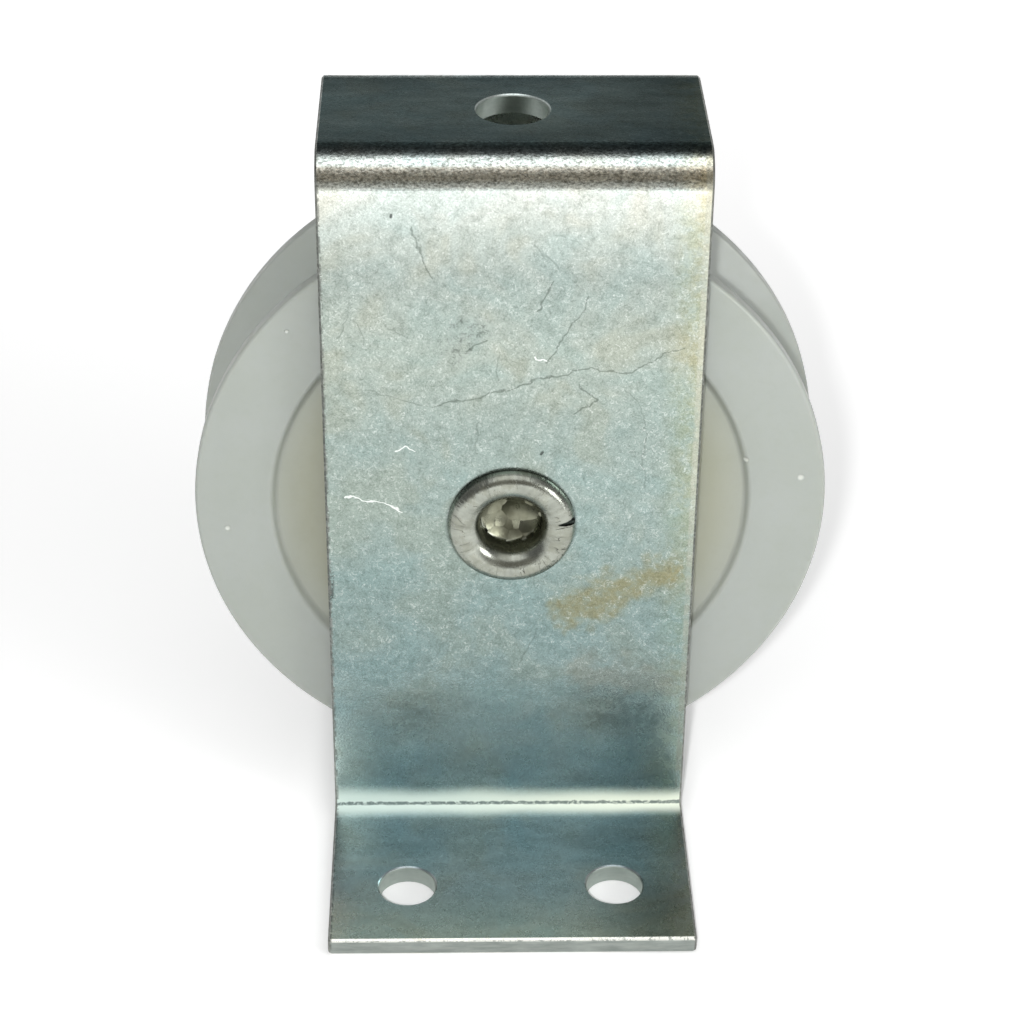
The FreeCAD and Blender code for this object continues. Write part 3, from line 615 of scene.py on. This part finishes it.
def rivet_finish(settings):
    """Bright steel with radial streaks and cracks on the rolled flare and facets in the bore"""
    material, make = new_material("rivet_steel_finish")
    place = make.place(location=(0.0, 0.0, -AXLE_HEIGHT))
    x, y, z = make.split(place)
    radius = make.length(make.join(x, 0.0, z))
    turn = make.math("ARCTAN2", z, x)
    around = make.join(
        make.times(make.math("COSINE", turn), 6.0),
        make.times(radius, 0.30),
        make.times(make.math("SINE", turn), 6.0),
    )
    on_flare = make.fade(y, -12.0, -13.0)
    streaks = make.noise(around, 0.9, 4.0, 0.62)
    struck = make.noise(place, 0.35, 3.0, 0.6)
    streaks = make.plus(make.times(streaks, on_flare), make.times(struck, make.minus(1.0, on_flare)))
    blotch = make.noise(place, 0.5, 4.0, 0.65)
    colour = make.ramp(streaks, [
        (0.30, tuple(0.78 * value for value in settings.steel_colour[:3])),
        (0.52, settings.steel_colour[:3]),
        (0.72, tuple(min(1.0, 1.18 * value) for value in settings.steel_colour[:3])),
    ])
    colour = make.tint(make.fade(blotch, 0.40, 0.66, 0.0, 0.6), colour, (0.78, 0.76, 0.70, 1.0))

    # Fine radial cracks on the roll
    on_roll = make.times(make.fade(radius, 5.6, 6.8), make.fade(y, -14.6, -15.0))
    crack_place = make.join(
        make.times(make.math("COSINE", turn), 8.75),
        make.times(radius, 0.35),
        make.times(make.math("SINE", turn), 8.75),
    )
    crack_field = make.noise(crack_place, 0.62, 2.0, 0.4)
    crack = make.unsigned(make.minus(crack_field, 0.5))
    crack = make.times(make.fade(crack, 0.008, 0.002), on_roll)
    crack = make.times(crack, make.fade(make.noise(place, 0.5, 2.0), 0.46, 0.56))
    colour = make.mix(make.times(crack, 0.8), colour, (0.05, 0.045, 0.04, 1.0))

    # Painted shade: the inside of the split in the flare darkened nearly to black
    along = make.dot(place, (math.cos(SPLIT_TURN), 0.0, math.sin(SPLIT_TURN)))
    across = make.unsigned(make.dot(place, (-math.sin(SPLIT_TURN), 0.0, math.cos(SPLIT_TURN))))
    split = make.minus(across, make.times(make.minus(along, 6.3), 0.20))
    split = make.times(make.fade(split, 0.14, 0.02), make.fade(along, 6.3, 6.6))
    split = make.times(split, on_flare)
    colour = make.mix(split, colour, (0.012, 0.012, 0.010, 1.0))

    # Flat facets that the punch left at the bottom of the bore
    at_bottom = make.times(make.fade(y, -12.9, -12.3), make.fade(radius, 4.6, 4.4))
    at_bottom = make.times(at_bottom, make.fade(y, 0.0, -5.0))
    cells = make.node("ShaderNodeTexVoronoi", {"Vector": place, "Scale": 0.42, "Randomness": 1.0})
    colour = make.tint(at_bottom, colour, (0.68, 0.66, 0.56, 1.0))
    lean = make.vector("SUBTRACT", cells.outputs["Color"], NEUTRAL)
    cell_place = make.vector("SUBTRACT", place, make.vector("SCALE", cells.outputs["Position"], (1, 1, 1)))
    facets = make.times(make.dot(lean, cell_place), at_bottom)

    height_map = make.times(streaks, make.times(on_roll, 0.12))
    height_map = make.plus(height_map, make.times(facets, 0.42))
    height_map = make.minus(height_map, make.times(crack, 0.08))
    height_map = make.plus(height_map, make.times(make.noise(place, 4.0, 2.0), 0.008))
    normal = make.bump(height_map)
    rough = make.fade(blotch, 0.3, 0.7, 0.20, 0.32)
    rough = make.plus(rough, make.times(at_bottom, 0.05))
    shader = make.node(
        "ShaderNodeBsdfPrincipled",
        {"Base Color": colour, "Metallic": 1.0, "Roughness": rough, "Normal": normal},
    )
    make.finish(shader.outputs[0])
    return material


def sleeve_finish(settings):
    """Plain bright tube with turning lines"""
    material, make = new_material("sleeve_steel_finish")
    place = make.place()
    lines = make.noise(make.vector("MULTIPLY", place, (0.15, 6.0, 0.15)), 1.0, 3.0, 0.6)
    blotch = make.noise(place, 0.5, 3.0, 0.6)
    base = settings.sleeve_colour[:3]
    colour = make.ramp(lines, [(0.3, tuple(0.75 * value for value in base)), (0.7, base)])
    colour = make.tint(make.fade(blotch, 0.45, 0.65, 0.0, 0.6), colour, (0.80, 0.76, 0.68, 1.0))
    normal = make.bump(make.times(lines, 0.01))
    shader = make.node(
        "ShaderNodeBsdfPrincipled",
        {"Base Color": colour, "Metallic": 1.0, "Roughness": make.fade(blotch, 0.3, 0.7, 0.28, 0.42),
         "Normal": normal},
    )
    make.finish(shader.outputs[0])
    return material


def floor_finish(settings):
    """Pale matt floor that keeps the shadow and reads as white; its glow, left out under the part, paints
    shade there
    """
    material, make = new_material("pale_floor")
    place = make.place()
    speck = make.noise(place, 0.02, 2.0)
    pale = settings.floor_colour[:3]
    colour = make.ramp(speck, [(0.2, tuple(0.99 * value for value in pale)), (0.8, pale)])
    x, y, _ = make.split(place)
    outside = make.larger(
        make.minus(make.unsigned(x), HALF_STRIP),
        make.minus(make.unsigned(y), FOOT_END),
    )
    matt = make.node("ShaderNodeBsdfDiffuse", {"Color": colour})

    ray = make.node("ShaderNodeLightPath").outputs
    seen = make.larger(ray["Is Camera Ray"], ray["Is Glossy Ray"])
    seen = make.larger(seen, ray["Is Transmission Ray"])
    # The glow grows behind the part, and is left out under it, which paints shade on the floor seen through
    # the holes and between the legs
    away = make.fade(y, 0.0, 300.0, settings.floor_glow, settings.floor_glow + 0.30)
    shade = make.times(make.fade(outside, -2.0, 5.0, 0.0, 1.0), seen)
    glow = make.node(
        "ShaderNodeEmission", {"Color": (1.0, 1.0, 1.0, 1.0), "Strength": make.times(shade, away)}
    )
    both = make.node("ShaderNodeAddShader", {0: matt.outputs[0], 1: glow.outputs[0]})
    make.finish(both.outputs[0])
    return material


# Turned pieces

def turned(name, corners, rounding, steps, height):
    """Spin a bent line of (along, radius) corners round the axle, with its corners rounded"""
    mesh = bpy.data.meshes.new(name)
    shape = bmesh.new()
    points = [shape.verts.new((radius, along, height)) for along, radius in corners]
    closed = corners[0][1] > 0.0
    for first, second in zip(points, points[1:]):
        shape.edges.new((first, second))
    if closed:
        shape.edges.new((points[-1], points[0]))
    for index, (offset, segments) in sorted(rounding.items()):
        bmesh.ops.bevel(
            shape, geom=[points[index]], offset=offset, offset_type="OFFSET", segments=segments,
            profile=0.5, affect="VERTICES", material=-1,
        )
    bmesh.ops.remove_doubles(shape, verts=shape.verts[:], dist=1e-7)
    bmesh.ops.spin(
        shape, geom=shape.verts[:] + shape.edges[:], cent=(0.0, 0.0, height), axis=(0.0, 1.0, 0.0),
        angle=math.tau, steps=steps, use_merge=True,
    )
    bmesh.ops.remove_doubles(shape, verts=shape.verts[:], dist=1e-7)
    bmesh.ops.recalc_face_normals(shape, faces=shape.faces[:])
    for face in shape.faces:
        face.smooth = True
    shape.to_mesh(mesh)
    shape.free()
    piece = bpy.data.objects.new(name, mesh)
    bpy.context.scene.collection.objects.link(piece)
    return piece


def keep_flats(piece):
    """Large flat faces keep their own shading beside small rounded corners"""
    weigh = piece.modifiers.new("flats", "WEIGHTED_NORMAL")
    weigh.mode = "FACE_AREA"
    weigh.weight = 100


class SHEAVE_OT_bracket(bpy.types.Operator):
    """Give the folded strip its plated finish"""

    bl_idname = "rope_sheave.bracket"
    bl_label = "Bracket"

    def execute(self, context):
        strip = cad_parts["bracket"]
        strip.material_slots[0].material = plated_finish(context.scene.sheave_plate)
        return {"FINISHED"}


class SHEAVE_OT_wheel(bpy.types.Operator):
    """Turn the nylon wheel with its groove, hubs and recesses"""

    bl_idname = "rope_sheave.wheel"
    bl_label = "Wheel"

    def execute(self, context):
        size = context.scene.sheave_wheel
        rim, face, hub = size.rim_radius, size.half_width, size.hub_half_width
        floor = face - size.recess_depth
        mouth, groove, root = size.mouth_half_width, size.groove_radius, size.root_radius

        # Corner where the groove's straight wall would meet the level of its root
        centre = root + groove
        slope = math.atan2(rim - centre, mouth) + math.asin(groove / math.hypot(mouth, rim - centre))
        corner = mouth - (rim - root) / math.tan(slope)
        offset = groove * math.tan(slope / 2.0)

        slack = 0.7 * MM
        half = [
            (corner, root), (mouth, rim), (face, rim), (face, size.recess_radius + 0.2 * slack),
            (floor, size.recess_radius - 0.8 * slack), (floor, size.hub_radius), (hub, size.hub_radius),
            (hub, size.bore_radius),
        ]
        corners = half + [(-along, radius) for along, radius in reversed(half)]
        count = len(corners)
        rounding = {}
        marks = (
            (0, offset * 0.9995, 12), (1, 0.30 * MM, 3), (2, 0.55 * MM, 5), (3, 0.39 * MM, 5),
            (4, 0.39 * MM, 5), (5, 0.30 * MM, 3), (6, 0.35 * MM, 3), (7, 0.60 * MM, 3),
        )
        for index, amount, segments in marks:
            rounding[index] = (amount, segments)
            rounding[count - 1 - index] = (amount, segments)
        wheel = turned("turned_wheel", corners, rounding, size.steps, AXLE_HEIGHT * MM)
        wheel.data.materials.append(nylon_finish(size))
        keep_flats(wheel)
        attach(wheel, "wheel")
        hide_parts("sheave")
        return {"FINISHED"}


class SHEAVE_OT_rivet(bpy.types.Operator):
    """Set the semi-tubular rivet with its rolled, split flare and flat head"""

    bl_idname = "rope_sheave.rivet"
    bl_label = "Rivet"

    def execute(self, context):
        size = context.scene.sheave_rivet
        leg = LEG_FACE * MM
        crest = -leg - size.flare_height
        lip, bore, shank = size.flare_radius, size.bore_radius, size.shank_radius
        bottom = -BORE_BOTTOM * MM
        tip = bottom + bore / math.tan(HALF_POINT)
        head_top = leg + size.head_height
        throat = size.flare_height + 0.5 * MM
        corners = [
            (tip, 0.0), (bottom, bore), (crest, bore), (crest, lip), (-leg, lip), (-leg, shank),
            (leg, shank), (leg, size.head_radius), (leg + 1.4 * MM, size.head_radius),
            (head_top, 9.0 * MM), (head_top, 0.0),
        ]
        rounding = {
            1: (0.35 * MM, 3), 2: (throat, 12), 3: (0.88 * size.flare_height, 12), 4: (0.15 * MM, 3),
            7: (0.2 * MM, 2), 8: (0.5 * MM, 4), 9: (0.6 * MM, 4),
        }
        rivet = turned("set_rivet", corners, rounding, size.steps, AXLE_HEIGHT * MM)
        self.open_split(rivet, size)
        rivet.data.materials.append(rivet_finish(size))
        keep_flats(rivet)
        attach(rivet, "frame")
        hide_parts("axle_rivet")
        return {"FINISHED"}

    def open_split(self, rivet, size):
        """Spread the flare beside the split and draw one row of points in to its root"""
        reach = math.radians(9.0)
        step = math.tau / size.steps
        root = size.flare_radius - size.split_depth
        shape = bmesh.new()
        shape.from_mesh(rivet.data)
        for vert in shape.verts:
            across, up = vert.co.x, vert.co.z - AXLE_HEIGHT * MM
            radius = math.hypot(across, up)
            if vert.co.y > -LEG_FACE * MM + 1e-6 or radius < root:
                continue
            away = (math.atan2(up, across) - SPLIT_TURN + math.pi) % math.tau - math.pi
            if abs(away) > reach:
                continue
            share = (radius - root) / size.split_depth
            gap = 0.5 * size.split_width * share ** 0.8 / radius
            if abs(away) < 0.6 * step:
                radius = root
            else:
                away = math.copysign(gap + (abs(away) - step) * (reach - gap) / (reach - step), away)
            vert.co.x = radius * math.cos(SPLIT_TURN + away)
            vert.co.z = AXLE_HEIGHT * MM + radius * math.sin(SPLIT_TURN + away)
        shape.to_mesh(rivet.data)
        shape.free()


class SHEAVE_OT_sleeve(bpy.types.Operator):
    """Give the spacer sleeve its bright tube finish"""

    bl_idname = "rope_sheave.sleeve"
    bl_label = "Sleeve"

    def execute(self, context):
        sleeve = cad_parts["spacer_sleeve"]
        sleeve.material_slots[0].material = sleeve_finish(context.scene.sheave_rivet)
        return {"FINISHED"}


class SHEAVE_OT_stage(bpy.types.Operator):
    """Lay the pale floor, set the room and the lamps, and place the camera"""

    bl_idname = "rope_sheave.stage"
    bl_label = "Floor, light and camera"

    def execute(self, context):
        settings = context.scene.sheave_stage
        scene = context.scene
        scene.view_settings.view_transform = "Standard"
        self.lay_floor(scene, settings)
        self.light(scene, settings)
        self.point_camera(scene, settings)
        return {"FINISHED"}

    def lay_floor(self, scene, settings):
        mesh = bpy.data.meshes.new("pale_floor")
        shape = bmesh.new()
        bmesh.ops.create_circle(shape, cap_ends=True, segments=96, radius=settings.floor_radius)
        bmesh.ops.translate(shape, verts=shape.verts[:], vec=(0.0, 0.0, -0.1 * MM))
        shape.to_mesh(mesh)
        shape.free()
        floor = bpy.data.objects.new("pale_floor", mesh)
        mesh.materials.append(floor_finish(settings))
        scene.collection.objects.link(floor)

    def light(self, scene, settings):
        world = bpy.data.worlds.new("light_tent")
        world.use_nodes = True
        scene.world = world
        make = Recipe(world.node_tree)
        aim = make.node("ShaderNodeTexCoord").outputs["Generated"]
        x, y, z = make.split(aim)
        rise = make.math("DIVIDE", make.math("ARCTAN2", z, make.times(y, -1.0)), math.pi)
        glow = make.ramp(rise, [
            (0.00, (0.40, 0.39, 0.36)),
            (0.03, (0.27, 0.26, 0.23)),
            (0.16, (0.27, 0.26, 0.23)),
            (0.21, (0.46, 0.45, 0.43)),
            (0.25, (0.95, 0.95, 0.95)),
            (0.45, (0.95, 0.95, 0.95)),
            (0.497, (0.18, 0.18, 0.18)),
            (0.55, (0.030, 0.031, 0.031)),
            (0.76, (0.020, 0.026, 0.026)),
            (0.82, (0.050, 0.066, 0.066)),
            (0.87, (0.080, 0.104, 0.106)),
            (0.92, (0.14, 0.16, 0.16)),
            (1.00, (0.30, 0.32, 0.32)),
        ])
        overhead = make.times(make.fade(rise, 0.21, 0.26), make.fade(rise, 0.50, 0.45))
        strength = make.plus(make.times(overhead, 0.55), 1.0)
        strength = make.times(strength, settings.sky_strength)
        sideways = make.fade(make.unsigned(x), 0.32, 0.62)
        beside = make.ramp(rise, [(0.30, (0.20, 0.20, 0.20)), (0.60, (0.42, 0.42, 0.42))])
        glow = make.mix(sideways, glow, beside)
        level = settings.sky_strength
        strength = make.mix(sideways, make.join(strength, strength, strength), (level, level, level, 1.0))
        back = make.node("ShaderNodeBackground", {"Color": glow, "Strength": strength})
        make.node("ShaderNodeOutputWorld", {"Surface": back.outputs[0]})

        # One small lamp beside the camera, whose shadow falls just right of the part, and a fill on the right
        for name, size, power, place, mirrored in (
            ("key_lamp", 0.014, settings.key_power, (-0.0240, -0.3227, 0.2413), False),
            ("fill_lamp", 0.15, settings.fill_power, (0.26, -0.22, 0.13), True),
        ):
            lamp = bpy.data.lights.new(name, "AREA")
            lamp.shape = "DISK"
            lamp.size = size
            lamp.energy = power
            holder = bpy.data.objects.new(name, lamp)
            holder.location = place
            aim = Vector((0.0, 0.0, 0.05)) - holder.location
            holder.rotation_euler = aim.to_track_quat("-Z", "Y").to_euler()
            holder.visible_glossy = mirrored
            scene.collection.objects.link(holder)

    def point_camera(self, scene, settings):
        camera = bpy.data.cameras.new("camera")
        camera.sensor_fit = "HORIZONTAL"
        camera.sensor_width = 36.0
        camera.lens = settings.lens
        camera.clip_start = 0.01
        camera.clip_end = 50.0
        holder = bpy.data.objects.new("camera", camera)
        turn = (
            Matrix.Rotation(CAMERA_PAN, 4, "Z")
            @ Matrix.Rotation(math.pi / 2.0 - CAMERA_DOWN, 4, "X")
            @ Matrix.Rotation(CAMERA_ROLL, 4, "Z")
        )
        holder.matrix_world = Matrix.Translation(CAMERA_PLACE) @ turn
        scene.collection.objects.link(holder)
        scene.camera = holder


class SHEAVE_PT_panel(bpy.types.Panel):
    """Pieces of the rope sheave"""

    bl_idname = "SHEAVE_PT_panel"
    bl_label = "Rope sheave"
    bl_space_type = "VIEW_3D"
    bl_region_type = "UI"
    bl_category = "Sheave"

    def draw(self, context):
        layout = self.layout
        for operator, group in PIECES:
            box = layout.box()
            box.operator(operator.bl_idname)
            settings = getattr(context.scene, group)
            for name in settings.__annotations__:
                box.prop(settings, name)


PIECES = (
    (SHEAVE_OT_stage, "sheave_stage"),
    (SHEAVE_OT_bracket, "sheave_plate"),
    (SHEAVE_OT_wheel, "sheave_wheel"),
    (SHEAVE_OT_rivet, "sheave_rivet"),
    (SHEAVE_OT_sleeve, "sheave_rivet"),
)
GROUPS = (
    ("sheave_stage", StageSettings),
    ("sheave_plate", PlateSettings),
    ("sheave_wheel", WheelSettings),
    ("sheave_rivet", RivetSettings),
)
CLASSES = [group for _, group in GROUPS] + [operator for operator, _ in PIECES] + [SHEAVE_PT_panel]


def register():
    for made in CLASSES:
        bpy.utils.register_class(made)
    for name, group in GROUPS:
        setattr(bpy.types.Scene, name, PointerProperty(type=group))


def unregister():
    for name, _ in GROUPS:
        delattr(bpy.types.Scene, name)
    for made in reversed(CLASSES):
        bpy.utils.unregister_class(made)


def main():
    register()
    bpy.ops.rope_sheave.stage()
    bpy.ops.rope_sheave.bracket()
    bpy.ops.rope_sheave.wheel()
    bpy.ops.rope_sheave.rivet()
    bpy.ops.rope_sheave.sleeve()
    bpy.context.view_layer.update()


if __name__ == "__main__":
    main()
